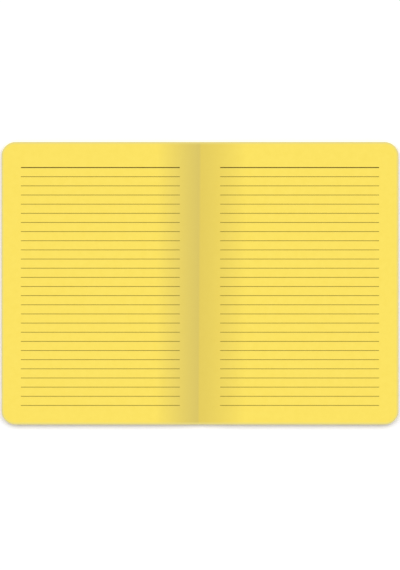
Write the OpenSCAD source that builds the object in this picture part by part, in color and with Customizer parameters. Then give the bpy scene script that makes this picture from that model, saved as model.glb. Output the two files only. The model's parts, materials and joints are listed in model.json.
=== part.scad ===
// Saddle-stitched notebook with ruled pages, lying open on its covers.
// X runs across the spread, Y along the fold towards the head, Z up from the table.

/* [Format] */
// Width of a page from the fold to the fore-edge
page_w = 147.5; // [100:0.5:200]
// Height of a page from the foot to the head
page_h = 210; // [150:1:300]
// Radius of the rounded outer corners
corner_r = 10; // [4:0.5:20]

/* [Paper and cover] */
// Folded sheets stitched together at the fold
sheet_count = 24; // [16:1:40]
// Thickness of one leaf
leaf_t = 0.1; // [0.08:0.01:0.15]
// Thickness of the cover card
cover_t = 0.35; // [0.2:0.05:0.6]
// How far the top leaf is set in from the cover at the fore-edge
fore_edge_creep = 0.3; // [0.1:0.1:2.4]

/* [Gutter] */
// Depth of the valley in which the two pages meet
gutter_depth = 1; // [0.6:0.1:2.5]
// Distance from the fold at which a page lies level
gutter_reach = 33; // [20:1:60]
// Distance from the fold at which the cover lifts off the table
spine_reach = 12; // [8:0.5:20]
// Space between the two halves along the fold
fold_gap = 0.2; // [0.1:0.05:0.4]

/* [Ruling] */
// Drop from the head of the page to the header rule
header_drop = 19; // [12:0.5:35]
// Spacing of the rules
rule_pitch = 6.8; // [5:0.1:10]
// Least space under the last rule
foot_margin = 14; // [8:0.5:30]
// Margin between the fold and the rules
inner_margin = 15; // [8:0.5:30]
// Margin between the rules and the fore-edge
outer_margin = 14.4; // [8:0.1:30]
// Width of the header rule
header_rule_w = 0.64; // [0.3:0.02:1]
// Width of the other rules
rule_w = 0.33; // [0.15:0.01:0.5]
// Thickness of the printed ink
ink_t = 0.08; // [0.04:0.01:0.12]

/* [Staples] */
// Diameter of the staple wire
wire_d = 0.6; // [0.4:0.05:0.8]
// Width of a staple between its legs
staple_w = 12; // [9:0.5:16]
// Distance between the middles of the two staples
staple_spacing = 110; // [60:1:130]
// Length of each leg that is folded over inside
clinch_len = 3.5; // [2:0.1:4]
// Inside radius of the bends in the room around the wire
bend_inside = 0.05; // [0.02:0.01:0.1]
// Leaves that lie over the folded legs
leaves_over = 5; // [3:1:8]
// Clearance around the wire in the paper and card
staple_clear = 0.1; // [0.05:0.05:0.2]
// Space between the staples and the table
table_clear = 0.1; // [0.05:0.05:0.3]

/* [Hidden] */
$fn = 96;
// Facets of the wide shallow bows and of the thin wire
bow_fn = 1440;
wire_fn = 24;

wire_r = wire_d / 2;
stack_t = sheet_count * leaf_t;
// The fold of the cover stands just high enough to clear the staples
spine_lift = table_clear + wire_d + staple_clear;
// Top of the pages at the fold and where they lie level
fold_z = spine_lift + cover_t + stack_t;
page_z = fold_z + gutter_depth;
// Radii of the bow under the spine and of the bow of the page into the gutter
spine_bow_r = (spine_reach * spine_reach + spine_lift * spine_lift) / (2 * spine_lift);
page_bow_r = (gutter_reach * gutter_reach + gutter_depth * gutter_depth) / (2 * gutter_depth);
// Lean of the fore-edge of the page block
fore_edge_lean = atan(fore_edge_creep / (page_z - cover_t));
fold_face = fold_gap / 2;
rule_count = floor((page_h - header_drop - foot_margin) / rule_pitch) + 1;
// Bends of the wire's middle line
bend_r = wire_r + staple_clear + bend_inside;
bend_y = staple_w / 2 - bend_r;
// Middle lines of the wire outside and inside the fold
crown_z = table_clear + wire_r;
clinch_z = fold_z - leaves_over * leaf_t - staple_clear - wire_r;

paper_color = "#FCE364";
card_color = "#F3D44F";
ink_color = "#4A4010";
wire_color = "#C4C6C8";

// Runs a section drawn in X and Z along the fold
module along_fold(length) {
    rotate([90, 0, 0])
        linear_extrude(height = length, center = true)
            children();
}

// Plan of one half with its outer corners rounded, as wide as asked
module half_plan(width) {
    corner_y = page_h / 2 - corner_r;
    translate([0, -page_h / 2])
        square([width - corner_r, page_h]);
    translate([0, -corner_y])
        square([width, 2 * corner_y]);
    for (side = [-1, 1])
        translate([width - corner_r, side * corner_y])
            circle(r = corner_r);
}

// Section of what lies over a surface that is raised from the table and bows up to the fold
module over_spine(raise) {
    translate([spine_reach, raise])
        square([page_w - spine_reach, page_z - raise]);
    intersection() {
        translate([fold_face, 0])
            square([spine_reach - fold_face, page_z]);
        translate([spine_reach, spine_bow_r])
            circle(r = spine_bow_r - raise, $fn = bow_fn);
    }
}

// Section of what lies under the page surface, or under a layer that covers it
module under_page(layer) {
    translate([gutter_reach, 0])
        square([page_w - gutter_reach, page_z + layer]);
    intersection() {
        translate([fold_face, 0])
            square([gutter_reach - fold_face, page_z + layer]);
        translate([gutter_reach, page_z - page_bow_r])
            circle(r = page_bow_r + layer, $fn = bow_fn);
    }
}

// A quarter bend of the wire, from the crown up into a leg
module bend(radius) {
    rotate([0, 90, 0])
        rotate_extrude(angle = 90, $fn = wire_fn)
            translate([bend_r, 0])
                circle(r = radius, $fn = wire_fn);
}

// A straight stretch of wire that runs towards the foot of the page
module run(radius, length) {
    rotate([90, 0, 0])
        cylinder(r = radius, h = length, $fn = wire_fn);
}

// Both legs of both staples, from foot_z up through the fold and over, or the room around them
module legs(clear, foot_z) {
    radius = wire_r + clear;
    bend_z = clinch_z - bend_r;
    for (place = [-1, 1], side = [0, 1])
        translate([0, place * staple_spacing / 2, 0])
            mirror([0, side, 0]) {
                translate([0, staple_w / 2, foot_z])
                    cylinder(r = radius, h = bend_z - foot_z, $fn = wire_fn);
                translate([0, bend_y, bend_z])
                    mirror([0, 0, 1])
                        bend(radius);
                translate([0, bend_y, clinch_z])
                    run(radius, clinch_len + clear);
            }
}

module half_cover() {
    difference() {
        intersection() {
            linear_extrude(height = page_z)
                half_plan(page_w);
            along_fold(page_h)
                difference() {
                    over_spine(0);
                    over_spine(cover_t);
                }
        }
        legs(staple_clear, 0);
    }
}

module half_pages() {
    difference() {
        intersection() {
            along_fold(page_h)
                intersection() {
                    over_spine(cover_t);
                    under_page(0);
                }
            translate([page_w, 0, cover_t])
                rotate([0, -fore_edge_lean, 0])
                    translate([-2 * page_w, 0, -page_w])
                        linear_extrude(height = 2 * page_w)
                            half_plan(2 * page_w);
        }
        legs(staple_clear, 0);
    }
}

module half_ruling() {
    rule_length = page_w - inner_margin - outer_margin;
    for (i = [0 : rule_count - 1])
        translate([0, page_h / 2 - header_drop - i * rule_pitch, 0])
            along_fold(i == 0 ? header_rule_w : rule_w)
                intersection() {
                    difference() {
                        under_page(ink_t);
                        under_page(0);
                    }
                    translate([inner_margin, 0])
                        square([rule_length, page_z + ink_t]);
                }
}

module back_cover() {
    color(card_color)
        half_cover();
}

module front_cover() {
    color(card_color)
        mirror([1, 0, 0])
            half_cover();
}

module right_pages() {
    color(paper_color)
        half_pages();
}

module left_pages() {
    color(paper_color)
        mirror([1, 0, 0])
            half_pages();
}

module right_ruling() {
    color(ink_color)
        half_ruling();
}

module left_ruling() {
    color(ink_color)
        mirror([1, 0, 0])
            half_ruling();
}

// Two wire staples with their crowns under the fold of the cover
module staples() {
    bend_z = crown_z + bend_r;
    color(wire_color) {
        legs(0, bend_z);
        for (place = [-1, 1])
            translate([0, place * staple_spacing / 2, 0]) {
                translate([0, bend_y, crown_z])
                    run(wire_r, 2 * bend_y);
                for (side = [0, 1])
                    mirror([0, side, 0])
                        translate([0, bend_y, bend_z])
                            bend(wire_r);
            }
    }
}

back_cover();
front_cover();
right_pages();
left_pages();
right_ruling();
left_ruling();
staples();
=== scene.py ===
import json
import math
import random

import bmesh
import bpy
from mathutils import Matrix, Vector


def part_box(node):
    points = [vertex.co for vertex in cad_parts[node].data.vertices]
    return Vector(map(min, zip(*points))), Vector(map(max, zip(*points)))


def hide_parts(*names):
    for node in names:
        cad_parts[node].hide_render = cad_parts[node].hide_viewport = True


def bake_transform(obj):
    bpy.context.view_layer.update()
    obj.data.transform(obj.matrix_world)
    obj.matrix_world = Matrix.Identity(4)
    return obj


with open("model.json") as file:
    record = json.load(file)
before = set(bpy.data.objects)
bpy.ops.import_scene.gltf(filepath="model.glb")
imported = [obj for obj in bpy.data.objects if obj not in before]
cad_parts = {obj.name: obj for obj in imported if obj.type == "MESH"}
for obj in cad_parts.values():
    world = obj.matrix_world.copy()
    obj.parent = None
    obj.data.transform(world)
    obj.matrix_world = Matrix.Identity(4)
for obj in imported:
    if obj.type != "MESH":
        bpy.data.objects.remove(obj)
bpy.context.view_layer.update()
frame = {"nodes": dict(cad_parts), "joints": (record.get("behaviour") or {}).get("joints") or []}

mm = 0.001
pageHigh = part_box("right_pages")[1]            # fore-edge, head and level top of the pages
foldJoint = frame["joints"][0]
foldAxisZ = foldJoint["pos_m"][2]
print("frame loaded:", len(frame["nodes"]), "nodes, hinge", foldJoint["name"])

# sizes that the leaves, the cover and the staples share
notebook = {
    "halfWidth": pageHigh.x,
    "halfHeight": pageHigh.y,
    "level": pageHigh.z,           # top of the pages where they lie flat
    "cornerRadius": 10 * mm,
    "coverThickness": 0.35 * mm,
    "spineLift": 0.8 * mm,         # the fold of the cover stands off the table
    "spineReach": 12 * mm,
    "bendReach": 2 * mm,           # half of the strip at the fold that bends when it shuts
    "smoothAngle": 30,             # degrees, sharper edges stay sharp
}


# helpers

def colour(hexText):
    parts = [int(hexText[i:i + 2], 16) / 255 for i in (1, 3, 5)]
    return [c / 12.92 if c <= 0.04045 else ((c + 0.055) / 1.055) ** 2.4 for c in parts] + [1.0]


def addNode(tree, kind, inputs=None, **settings):
    node = tree.nodes.new(kind)
    for name, value in settings.items():
        setattr(node, name, value)
    for name, value in (inputs or {}).items():
        if isinstance(value, bpy.types.NodeSocket):
            tree.links.new(value, node.inputs[name])
        else:
            node.inputs[name].default_value = value
    return node


def newMaterial(name):
    material = bpy.data.materials.new(name)
    material.use_nodes = True
    material.node_tree.nodes.clear()
    return material, material.node_tree


def workOn(obj, mode="OBJECT"):
    if bpy.context.object and bpy.context.object.mode != "OBJECT":
        bpy.ops.object.mode_set(mode="OBJECT")
    bpy.ops.object.select_all(action="DESELECT")
    obj.select_set(True)
    bpy.context.view_layer.objects.active = obj
    bpy.ops.object.mode_set(mode=mode)


def pickVertices(obj, test):                   # edit mode: select by place
    bpy.ops.mesh.select_all(action="DESELECT")
    mesh = bmesh.from_edit_mesh(obj.data)
    for vertex in mesh.verts:
        vertex.select = test(vertex.co)
    mesh.select_flush_mode()
    bmesh.update_edit_mesh(obj.data)


def applyModifier(obj, kind, **settings):
    workOn(obj)
    modifier = obj.modifiers.new(kind.lower(), kind)
    for name, value in settings.items():
        setattr(modifier, name, value)
    bpy.ops.object.modifier_apply(modifier=modifier.name)


def layUv(obj, spineRadius=0):                 # plan of the flat spread, 0 to 1 across and up
    layer = obj.data.uv_layers.new(name="plan")
    for loop in obj.data.loops:
        place = obj.data.vertices[loop.vertex_index].co
        share = min(max(0.5 + place.x / (2 * notebook["bendReach"]), 0), 1)
        turn = math.pi * (share * share * (3 - 2 * share) - 0.5)
        layer.data[loop.index].uv = (          # room for the round spine that opens when it shuts
            0.5 + (place.x + spineRadius * turn) / (2 * notebook["halfWidth"]),
            0.5 + place.y / (2 * notebook["halfHeight"]),
        )


# materials
# sockets of a Mix node: 2 and 3 are its numbers, 6 and 7 its colours, and output 2 is the mixed colour

gutter = {
    "leftTone": "#DAC565",         # paper in the shade of the fold
    "rightTone": "#DAC25A",
    "leftReach": 32, "leftPower": 1.2, "leftDepth": 0.97,      # mm, then how the shade falls off
    "rightReach": 34.5, "rightPower": 1.3, "rightDepth": 0.69,
    "lean": 1.2 / 210,             # slope of the crease, towards the left at the foot
    "creaseOffset": -0.4,          # mm at mid height
    "creaseBlur": 0.9,             # mm
}


def gutterShade(tree, planMm):     # its depth, 0 on the flat page and up to 1 in the fold, and its tone
    split = addNode(tree, "ShaderNodeSeparateXYZ", {0: planMm})
    leaning = addNode(tree, "ShaderNodeMath", {
        0: split.outputs["Y"], 1: -gutter["lean"], 2: -gutter["creaseOffset"],
    }, operation="MULTIPLY_ADD")
    across = addNode(tree, "ShaderNodeMath", {
        0: split.outputs["X"], 1: leaning.outputs[0],
    }, operation="ADD")
    away = addNode(tree, "ShaderNodeMath", {0: across.outputs[0]}, operation="ABSOLUTE")
    sides = []
    for side in ("left", "right"):
        share = addNode(tree, "ShaderNodeMath", {
            0: away.outputs[0], 1: gutter[side + "Reach"],
        }, operation="DIVIDE", use_clamp=True)
        curve = addNode(tree, "ShaderNodeMath", {
            0: share.outputs[0], 1: gutter[side + "Power"],
        }, operation="POWER")
        near = addNode(tree, "ShaderNodeMath", {0: 1.0, 1: curve.outputs[0]}, operation="SUBTRACT")
        sides.append(addNode(tree, "ShaderNodeMath", {
            0: near.outputs[0], 1: gutter[side + "Depth"],
        }, operation="MULTIPLY"))
    isRight = addNode(tree, "ShaderNodeMapRange", {
        "Value": across.outputs[0], "From Min": -gutter["creaseBlur"], "From Max": gutter["creaseBlur"],
    }, interpolation_type="SMOOTHSTEP")
    tone = addNode(tree, "ShaderNodeMix", {
        0: isRight.outputs[0], 6: colour(gutter["leftTone"]), 7: colour(gutter["rightTone"]),
    }, data_type="RGBA")
    depth = addNode(tree, "ShaderNodeMix", {
        0: isRight.outputs[0], 2: sides[0].outputs[0], 3: sides[1].outputs[0],
    }, data_type="FLOAT")
    return depth.outputs[0], tone.outputs[2]


def planInMm(tree):                # the sheet's own plan, so that patterns stay put when it bends
    coordinates = addNode(tree, "ShaderNodeTexCoord")
    size = (2 * notebook["halfWidth"] / mm, 2 * notebook["halfHeight"] / mm, 1)
    return addNode(tree, "ShaderNodeMapping", {
        "Vector": coordinates.outputs["UV"], "Scale": size, "Location": (-size[0] / 2, -size[1] / 2, 0),
    }).outputs[0]


pagePaper = {
    "paper": "#FDE463",
    "cloud": "#F8DD58",            # where the pulp lies thicker
    "cloudSize": 5.0,              # mm
    "cloudRange": (0.35, 0.7),     # of the noise
    "cloudShare": 0.35,
    "fibreSize": 0.45,             # mm, drawn too coarse and too tall so that it shows
    "fibreHeight": 0.07 * mm,
    "rim": "#E6DA8A",              # painted shade where the trimmed edge turns down
    "edgeShadeReach": 2.2,               # mm
    "roughness": (0.86, 0.98),     # between the fibres and on them
    "specular": 0.2,
}


def paperMaterial():
    # dyed uncoated writing paper, calendered: matt, even, with faint clouds of pulp
    material, tree = newMaterial("uncoated_yellow_paper")
    plan = planInMm(tree)
    cloud = addNode(tree, "ShaderNodeTexNoise", {
        "Vector": plan, "Scale": 1 / pagePaper["cloudSize"], "Detail": 3.0, "Roughness": 0.6,
    })
    cloudRange = addNode(tree, "ShaderNodeMapRange", {
        "Value": cloud.outputs["Fac"], "To Max": pagePaper["cloudShare"],
        "From Min": pagePaper["cloudRange"][0], "From Max": pagePaper["cloudRange"][1],
    })
    clouded = addNode(tree, "ShaderNodeMix", {
        0: cloudRange.outputs[0], 6: colour(pagePaper["paper"]), 7: colour(pagePaper["cloud"]),
    }, data_type="RGBA")
    # painted shade: the paper's colour darkens towards the fold, deeper left of the crease than right
    depth, tone = gutterShade(tree, plan)
    shaded = addNode(tree, "ShaderNodeMix", {0: depth, 6: clouded.outputs[2], 7: tone}, data_type="RGBA")
    # painted shade along the edge of the sheet: paler and a touch darker, round the corners too
    radius = notebook["cornerRadius"] / mm     # the rim follows the straight edges and round the corners
    middle = (notebook["halfWidth"] / mm - radius, notebook["halfHeight"] / mm - radius, 0)
    quarter = addNode(tree, "ShaderNodeVectorMath", {0: plan}, operation="ABSOLUTE")
    fromMiddle = addNode(tree, "ShaderNodeVectorMath", {
        0: quarter.outputs[0], 1: middle,
    }, operation="SUBTRACT")
    beyond = addNode(tree, "ShaderNodeVectorMath", {
        0: fromMiddle.outputs[0], 1: (0, 0, 0),
    }, operation="MAXIMUM")
    outwards = addNode(tree, "ShaderNodeVectorMath", {0: beyond.outputs[0]}, operation="LENGTH")
    nearEdge = addNode(tree, "ShaderNodeMapRange", {
        "Value": outwards.outputs["Value"],
        "From Min": radius - pagePaper["edgeShadeReach"], "From Max": radius,
    }, interpolation_type="SMOOTHSTEP")
    edgeShaded = addNode(tree, "ShaderNodeMix", {
        0: nearEdge.outputs[0], 6: shaded.outputs[2], 7: colour(pagePaper["rim"]),
    }, data_type="RGBA")
    fibre = addNode(tree, "ShaderNodeTexNoise", {
        "Vector": plan, "Scale": 1 / pagePaper["fibreSize"], "Detail": 4.0, "Roughness": 0.65,
    })
    bump = addNode(tree, "ShaderNodeBump", {
        "Height": fibre.outputs["Fac"], "Strength": 1.0, "Distance": pagePaper["fibreHeight"],
    })
    rough = addNode(tree, "ShaderNodeMapRange", {
        "Value": fibre.outputs["Fac"],
        "To Min": pagePaper["roughness"][0], "To Max": pagePaper["roughness"][1],
    })
    shader = addNode(tree, "ShaderNodeBsdfPrincipled", {
        "Base Color": edgeShaded.outputs[2], "Normal": bump.outputs[0],
        "Roughness": rough.outputs[0], "Specular IOR Level": pagePaper["specular"],
    })
    addNode(tree, "ShaderNodeOutputMaterial", {"Surface": shader.outputs[0]})
    return material


leafEdge = {
    "cut": "#FADB6C",
    "shadow": "#E6BF56",
    "nickSize": 1.6,               # mm, marks of the trimming knife
    "roughness": 0.95,
    "specular": 0.1,
}


def leafEdgeMaterial():
    # edges of the leaves as the guillotine left them: chalky, a little deeper, with faint knife marks
    material, tree = newMaterial("trimmed_paper_edge")
    plan = planInMm(tree)
    nicks = addNode(tree, "ShaderNodeTexNoise", {
        "Vector": plan, "Scale": 1 / leafEdge["nickSize"], "Detail": 5.0, "Roughness": 0.7,
    })
    tinted = addNode(tree, "ShaderNodeMix", {
        0: nicks.outputs["Fac"], 6: colour(leafEdge["cut"]), 7: colour(leafEdge["shadow"]),
    }, data_type="RGBA")
    shader = addNode(tree, "ShaderNodeBsdfPrincipled", {
        "Base Color": tinted.outputs[2],
        "Roughness": leafEdge["roughness"], "Specular IOR Level": leafEdge["specular"],
    })
    addNode(tree, "ShaderNodeOutputMaterial", {"Surface": shader.outputs[0]})
    return material


coverCard = {
    "card": "#F3D44F",
    "fleck": "#E3BE3C",
    "fleckSize": 1.2,              # mm
    "fleckRange": (0.45, 0.75),    # of the noise
    "fleckShare": 0.45,
    "grainSize": 0.6,              # mm
    "grainHeight": 0.06 * mm,      # drawn too tall so that it shows
    "wearPale": "#FAE88C",         # rubbed fold of the spine
    "wearReach": 6,                # mm
    "wearShare": 0.6,
    "roughness": (0.66, 0.82),     # on the grain and in it
    "specular": 0.3,
}


def cardMaterial():
    # smooth pulp board dyed in the mass: matt, lightly flecked, rubbed paler along the fold
    material, tree = newMaterial("dyed_cover_card")
    plan = planInMm(tree)
    fleck = addNode(tree, "ShaderNodeTexNoise", {
        "Vector": plan, "Scale": 1 / coverCard["fleckSize"], "Detail": 4.0, "Roughness": 0.7,
    })
    fleckRange = addNode(tree, "ShaderNodeMapRange", {
        "Value": fleck.outputs["Fac"], "To Max": coverCard["fleckShare"],
        "From Min": coverCard["fleckRange"][0], "From Max": coverCard["fleckRange"][1],
    })
    flecked = addNode(tree, "ShaderNodeMix", {
        0: fleckRange.outputs[0], 6: colour(coverCard["card"]), 7: colour(coverCard["fleck"]),
    }, data_type="RGBA")
    split = addNode(tree, "ShaderNodeSeparateXYZ", {0: plan})
    away = addNode(tree, "ShaderNodeMath", {0: split.outputs["X"]}, operation="ABSOLUTE")
    rubbed = addNode(tree, "ShaderNodeMapRange", {
        "Value": away.outputs[0], "From Max": coverCard["wearReach"],
        "To Min": coverCard["wearShare"], "To Max": 0.0,
    }, interpolation_type="SMOOTHSTEP")
    broken = addNode(tree, "ShaderNodeMath", {
        0: rubbed.outputs[0], 1: fleck.outputs["Fac"],
    }, operation="MULTIPLY")
    worn = addNode(tree, "ShaderNodeMix", {
        0: broken.outputs[0], 6: flecked.outputs[2], 7: colour(coverCard["wearPale"]),
    }, data_type="RGBA")
    grain = addNode(tree, "ShaderNodeTexNoise", {
        "Vector": plan, "Scale": 1 / coverCard["grainSize"], "Detail": 3.0,
    })
    bump = addNode(tree, "ShaderNodeBump", {
        "Height": grain.outputs["Fac"], "Strength": 1.0, "Distance": coverCard["grainHeight"],
    })
    rough = addNode(tree, "ShaderNodeMapRange", {
        "Value": grain.outputs["Fac"],
        "To Min": coverCard["roughness"][1], "To Max": coverCard["roughness"][0],
    })
    shader = addNode(tree, "ShaderNodeBsdfPrincipled", {
        "Base Color": worn.outputs[2], "Normal": bump.outputs[0],
        "Roughness": rough.outputs[0], "Specular IOR Level": coverCard["specular"],
    })
    addNode(tree, "ShaderNodeOutputMaterial", {"Surface": shader.outputs[0]})
    return material


ruleInk = {
    "ink": "#43380A",
    "thin": "#4E420F",             # where the ink ran dry
    "patchSize": 2.5,              # mm
    "patchRange": (0.5, 0.8),      # of the noise
    "patchShare": 0.5,
    "roughness": 0.8,
    "specular": 0.2,
}


def inkMaterial():
    # offset printed rules: dark ink soaked into the paper, a little uneven along the line
    material, tree = newMaterial("printed_rule_ink")
    coordinates = addNode(tree, "ShaderNodeTexCoord")
    patches = addNode(tree, "ShaderNodeTexNoise", {
        "Vector": coordinates.outputs["Object"],
        "Scale": 1 / (ruleInk["patchSize"] * mm), "Detail": 2.0,
    })
    uneven = addNode(tree, "ShaderNodeMapRange", {
        "Value": patches.outputs["Fac"], "To Max": ruleInk["patchShare"],
        "From Min": ruleInk["patchRange"][0], "From Max": ruleInk["patchRange"][1],
    })
    printed = addNode(tree, "ShaderNodeMix", {
        0: uneven.outputs[0], 6: colour(ruleInk["ink"]), 7: colour(ruleInk["thin"]),
    }, data_type="RGBA")
    shader = addNode(tree, "ShaderNodeBsdfPrincipled", {
        "Base Color": printed.outputs[2],
        "Roughness": ruleInk["roughness"], "Specular IOR Level": ruleInk["specular"],
    })
    addNode(tree, "ShaderNodeOutputMaterial", {"Surface": shader.outputs[0]})
    return material


stapleWire = {
    "steel": "#C9CBCD",
    "dull": "#A6A8AA",
    "streakLength": 1.5,           # mm, left by the drawing die along the wire
    "streakWidth": 0.08,           # mm
    "roughness": (0.28, 0.48),     # between the streaks and on them
}


def wireMaterial():
    # galvanised stitching wire, drawn: bright grey with fine streaks along its length
    material, tree = newMaterial("galvanised_stitching_wire")
    stretched = addNode(tree, "ShaderNodeMapping", {
        "Vector": planInMm(tree),
        "Scale": (1 / stapleWire["streakWidth"], 1 / stapleWire["streakLength"], 1),
    })
    streaks = addNode(tree, "ShaderNodeTexNoise", {
        "Vector": stretched.outputs[0], "Scale": 1.0, "Detail": 2.0,
    })
    tinted = addNode(tree, "ShaderNodeMix", {
        0: streaks.outputs["Fac"], 6: colour(stapleWire["steel"]), 7: colour(stapleWire["dull"]),
    }, data_type="RGBA")
    rough = addNode(tree, "ShaderNodeMapRange", {
        "Value": streaks.outputs["Fac"],
        "To Min": stapleWire["roughness"][0], "To Max": stapleWire["roughness"][1],
    })
    shader = addNode(tree, "ShaderNodeBsdfPrincipled", {
        "Base Color": tinted.outputs[2], "Roughness": rough.outputs[0], "Metallic": 1.0,
    })
    addNode(tree, "ShaderNodeOutputMaterial", {"Surface": shader.outputs[0]})
    return material


# sheets

cuts = {
    "bendStep": 0.1 * mm,          # close together where the sheet bends when it shuts
    "bowStep": 1.5 * mm,
    "flatStep": 18 * mm,
    "bowReach": 36 * mm,
    "rows": 6,
    "cornerSteps": 10,
    "onFold": 0.01 * mm,           # what lies this near the fold is on it
}


def cutPlaces(halfWidth):
    places = []
    place = 0.0
    while place < halfWidth - notebook["cornerRadius"]:
        places.append(place)
        bending = place < notebook["bendReach"] + cuts["bendStep"]
        bowed = place < cuts["bowReach"]
        place += cuts["bendStep"] if bending else cuts["bowStep"] if bowed else cuts["flatStep"]
    return places + [-p for p in places if p > 0]


def flatSheet(name, halfWidth, halfHeight):    # one open spread, flat on the table, corners rounded
    bpy.ops.object.select_all(action="DESELECT")
    bpy.ops.mesh.primitive_plane_add(size=2, calc_uvs=False)
    sheet = bpy.context.object
    sheet.name = name
    workOn(sheet, "EDIT")
    bpy.ops.mesh.select_all(action="SELECT")
    bpy.ops.transform.resize(value=(halfWidth, halfHeight, 1))
    bpy.ops.mesh.bevel(offset=notebook["cornerRadius"], segments=cuts["cornerSteps"], affect="VERTICES")
    for place in cutPlaces(halfWidth):
        bpy.ops.mesh.select_all(action="SELECT")
        bpy.ops.mesh.bisect(plane_co=(place, 0, 0), plane_no=(1, 0, 0))
    for row in range(1, cuts["rows"]):
        height = halfHeight * (2 * row / cuts["rows"] - 1)
        bpy.ops.mesh.select_all(action="SELECT")
        bpy.ops.mesh.bisect(plane_co=(0, height, 0), plane_no=(0, 1, 0))
    bpy.ops.object.mode_set(mode="OBJECT")
    return sheet


def pullFold(sheet, rise, reach):              # lift or press the fold, easing out to the flat
    workOn(sheet, "EDIT")
    pickVertices(sheet, lambda place: abs(place.x) < cuts["onFold"])
    bpy.ops.transform.translate(value=(0, 0, rise), use_proportional_edit=True,
                                proportional_edit_falloff="SHARP", proportional_size=reach)
    bpy.ops.object.mode_set(mode="OBJECT")


leafBlock = {
    "sheets": 24,
    "thickness": 0.1 * mm,
    "gutterDepth": 1 * mm,
    "gutterReach": 33 * mm,
    "creep": 0.3 * mm,             # top leaf set in from the bottom one at the fore-edge
    "trim": 0.12 * mm,             # unevenness of the cut
    "coverGap": 0.005 * mm,        # the bottom leaf lies on the cover, not in it
    "seed": 5,
}


def makePages():
    random.seed(leafBlock["seed"])
    count, thickness = leafBlock["sheets"], leafBlock["thickness"]
    bottom = notebook["coverThickness"] + thickness / 2 + leafBlock["coverGap"]
    top = notebook["level"] - thickness / 2
    master = flatSheet("pages", notebook["halfWidth"], notebook["halfHeight"])
    sheets = [master]
    for i in range(1, count):
        copy = master.copy()
        copy.data = master.data.copy()
        bpy.context.collection.objects.link(copy)
        sheets.append(copy)
    for i, sheet in enumerate(sheets):
        share = i / (count - 1)                # 0 on the cover, 1 on top
        trim = 0 if i == count - 1 else random.uniform(0, leafBlock["trim"])
        sheet.location.z = bottom + share * (top - bottom)
        sheet.scale.x = 1 - (leafBlock["creep"] * share + trim) / notebook["halfWidth"]
        sheet.scale.y = 1 - trim / notebook["halfHeight"]
        workOn(sheet)
        bpy.ops.object.transform_apply(location=True, rotation=True, scale=True)
        pullFold(sheet, notebook["spineLift"] * (1 - share), notebook["spineReach"])
        pullFold(sheet, -leafBlock["gutterDepth"] * share, leafBlock["gutterReach"])
    spread = sheets.pop()                      # the sheet on top, which the ruling lies on
    spread.name = "open_spread"
    workOn(master)
    for sheet in sheets:
        sheet.select_set(True)
    bpy.ops.object.join()
    paper, edge = paperMaterial(), leafEdgeMaterial()
    for piece in (master, spread):
        piece.data.materials.append(paper)
        piece.data.materials.append(edge)
        applyModifier(piece, "SOLIDIFY", thickness=thickness, offset=0, use_even_offset=True,
                      material_offset_rim=1)
        bpy.ops.object.shade_smooth_by_angle(angle=math.radians(notebook["smoothAngle"]))
        layUv(piece)
    return master, spread


coverSheet = {
    "edgeRounding": 0.06 * mm,
    "roundingSteps": 2,
    "roundedFrom": 50,             # degrees, flatter edges aren't rounded
}


def makeCover():
    cover = flatSheet("cover", notebook["halfWidth"], notebook["halfHeight"])
    cover.location.z = notebook["coverThickness"] / 2
    workOn(cover)
    bpy.ops.object.transform_apply(location=True, rotation=True, scale=True)
    pullFold(cover, notebook["spineLift"], notebook["spineReach"])
    cover.data.materials.append(cardMaterial())
    applyModifier(cover, "SOLIDIFY", thickness=notebook["coverThickness"], offset=0,
                  use_even_offset=True)
    applyModifier(cover, "BEVEL", width=coverSheet["edgeRounding"], segments=coverSheet["roundingSteps"],
                  limit_method="ANGLE", angle_limit=math.radians(coverSheet["roundedFrom"]))
    bpy.ops.object.shade_smooth_by_angle(angle=math.radians(notebook["smoothAngle"]))
    layUv(cover, foldAxisZ - notebook["spineLift"])
    return cover


staple = {
    "wireRadius": 0.3 * mm,
    "width": 12 * mm,              # between the legs
    "spacing": 110 * mm,
    "crownHeight": 0.4 * mm,       # middle of the wire under the spine
    "clinchHeight": 2.65 * mm,     # middle of the folded ends
    "clinchLength": 3.5 * mm,
    "bend": 0.45 * mm,
    "sides": 16,
    "bendSteps": 8,
    "mergeReach": 0.001 * mm,
    "smoothAngle": 40,             # degrees
}


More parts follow.
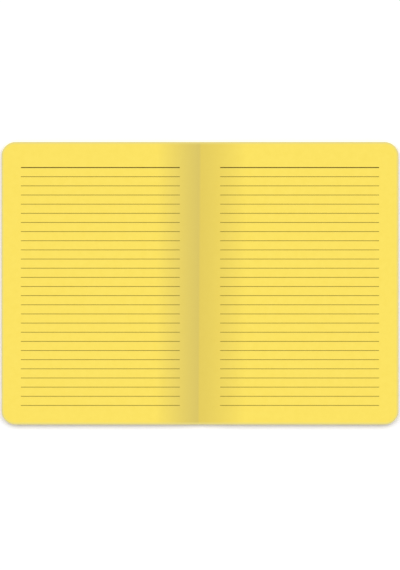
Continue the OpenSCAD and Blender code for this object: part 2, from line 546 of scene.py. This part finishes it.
def makeStaples():
    bendY = staple["width"] / 2 - staple["bend"]
    crown, clinch, bend = staple["crownHeight"], staple["clinchHeight"], staple["bend"]
    legLength = clinch - crown - 2 * bend
    bpy.ops.object.select_all(action="DESELECT")
    bpy.ops.mesh.primitive_circle_add(vertices=staple["sides"], radius=staple["wireRadius"],
                                      location=(0, bendY - staple["clinchLength"], clinch),
                                      rotation=(math.radians(-90), 0, 0),
                                      fill_type="NGON", calc_uvs=False)
    wire = bpy.context.object
    wire.name = "wire_staples"
    workOn(wire)
    bpy.ops.object.transform_apply(location=True, rotation=True, scale=True)
    workOn(wire, "EDIT")
    bpy.ops.mesh.select_all(action="SELECT")
    runs = [                                   # straight run, then the middle of the bend after it
        ((0, staple["clinchLength"], 0), (0, bendY, clinch - bend)),
        ((0, 0, -legLength), (0, bendY, crown + bend)),
        ((0, -2 * bendY, 0), (0, -bendY, crown + bend)),
        ((0, 0, legLength), (0, -bendY, clinch - bend)),
        ((0, staple["clinchLength"], 0), None),
    ]
    for run, middle in runs:
        bpy.ops.mesh.extrude_region_move(TRANSFORM_OT_translate={"value": run})
        if middle:
            bpy.ops.mesh.spin(steps=staple["bendSteps"], angle=math.radians(90),
                              center=middle, axis=(1, 0, 0))
    bpy.ops.mesh.select_all(action="SELECT")
    bpy.ops.mesh.remove_doubles(threshold=staple["mergeReach"])
    bpy.ops.mesh.normals_make_consistent(inside=False)
    bpy.ops.transform.translate(value=(0, staple["spacing"] / 2, 0))
    bpy.ops.mesh.duplicate_move(TRANSFORM_OT_translate={"value": (0, -staple["spacing"], 0)})
    bpy.ops.object.mode_set(mode="OBJECT")
    bpy.ops.object.shade_smooth_by_angle(angle=math.radians(staple["smoothAngle"]))
    wire.data.materials.append(wireMaterial())
    layUv(wire)
    return wire


# pieces in place of the CAD solids

pages, spread = makePages()
for piece in (pages, spread):
    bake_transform(piece)
    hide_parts("left_pages", "right_pages")
print("pages:", leafBlock["sheets"], "sheets,", len(pages.data.polygons), "faces,",
      len(spread.data.polygons), "more on the open spread")

cover = makeCover()
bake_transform(cover)
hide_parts("front_cover", "back_cover")
print("cover:", len(cover.data.polygons), "faces")

staples = makeStaples()
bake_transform(staples)
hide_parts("staples")
print("staples:", len(staples.data.polygons), "faces")

ink = inkMaterial()
for name in ("left_ruling", "right_ruling"):   # the printed rules keep their own solids
    rules = frame["nodes"][name].data
    rules.materials.clear()
    rules.materials.append(ink)
print("rules inked")


# camera, light and floor

view = {
    "pixelSize": 0.744 * mm,       # on the table
    "imageHeight": 570,
    "lens": 400,                   # mm, from far above, so that nothing leans
    "aimY": -1.3 * mm,             # the spread sits a little above the middle of the frame
}


def makeCamera():
    data = bpy.data.cameras.new("camera")
    data.lens = view["lens"]
    field = view["pixelSize"] * view["imageHeight"]
    camera = bpy.data.objects.new("camera", data)
    camera.location = (0, view["aimY"], field * data.lens / data.sensor_width)
    bpy.context.scene.collection.objects.link(camera)
    bpy.context.scene.camera = camera


studio = {
    "keyFrom": (0.5, 0.4, 1.0),    # from the right and the head, with its mirror image on the left
    "keyShare": 0.55,              # of the light on a flat page, the rest comes from all round
    "keySize": 48,                 # degrees across
    "sky": "#FFFFFF",
    "floor": "#F1F2F5",
    "floorLift": 0.18,             # added for the camera only, so that the lit floor is white
    "floorSize": 12,               # metres
    "floorDrop": 0.03 * mm,        # clear of the cover, which lies at 0
}


def seenByEye(tree):               # 1 where the camera looks, straight or by way of metal or glass
    ray = addNode(tree, "ShaderNodeLightPath")
    mirrored = addNode(tree, "ShaderNodeMath", {
        0: ray.outputs["Is Glossy Ray"], 1: ray.outputs["Is Transmission Ray"],
    }, operation="MAXIMUM")
    return addNode(tree, "ShaderNodeMath", {
        0: ray.outputs["Is Camera Ray"], 1: mirrored.outputs[0],
    }, operation="MAXIMUM").outputs[0]


def makeLamps():
    for name, side in (("left_key", -1), ("right_key", 1)):
        toKey = Vector(studio["keyFrom"]).normalized()
        toKey.x *= side
        lamp = bpy.data.lights.new(name, "SUN")
        lamp.energy = math.pi * studio["keyShare"] / 2 / toKey.z
        lamp.angle = math.radians(studio["keySize"])
        key = bpy.data.objects.new(name, lamp)
        key.rotation_euler = toKey.to_track_quat("Z", "Y").to_euler()
        key.location = toKey
        bpy.context.scene.collection.objects.link(key)


def makeSky():                     # even light from all round, plain white to look at
    world = bpy.data.worlds.new("studio")
    world.use_nodes = True
    tree = world.node_tree
    tree.nodes.clear()
    strength = addNode(tree, "ShaderNodeMapRange", {
        "Value": seenByEye(tree), "To Min": 1 - studio["keyShare"], "To Max": 1.0,
    })
    sky = addNode(tree, "ShaderNodeBackground", {
        "Color": colour(studio["sky"]), "Strength": strength.outputs[0],
    })
    addNode(tree, "ShaderNodeOutputWorld", {"Surface": sky.outputs[0]})
    bpy.context.scene.world = world


def makeFloor():
    bpy.ops.object.select_all(action="DESELECT")
    bpy.ops.mesh.primitive_plane_add(size=studio["floorSize"])
    floor = bpy.context.object
    floor.name = "floor"
    floor.location.z = -studio["floorDrop"]
    # white laminate table top: matt, even, a shade brighter to the camera than to the notebook
    material, tree = newMaterial("white_table")
    lift = addNode(tree, "ShaderNodeMath", {
        0: seenByEye(tree), 1: studio["floorLift"],
    }, operation="MULTIPLY")
    matt = addNode(tree, "ShaderNodeBsdfDiffuse", {"Color": colour(studio["floor"])})
    lifted = addNode(tree, "ShaderNodeBsdfDiffuse", {"Color": lift.outputs[0]})
    both = addNode(tree, "ShaderNodeAddShader", {0: matt.outputs[0], 1: lifted.outputs[0]})
    addNode(tree, "ShaderNodeOutputMaterial", {"Surface": both.outputs[0]})
    floor.data.materials.append(material)


makeCamera()
makeLamps()
makeSky()
makeFloor()
bpy.context.scene.view_settings.view_transform = "Standard"
print("camera and studio ready")
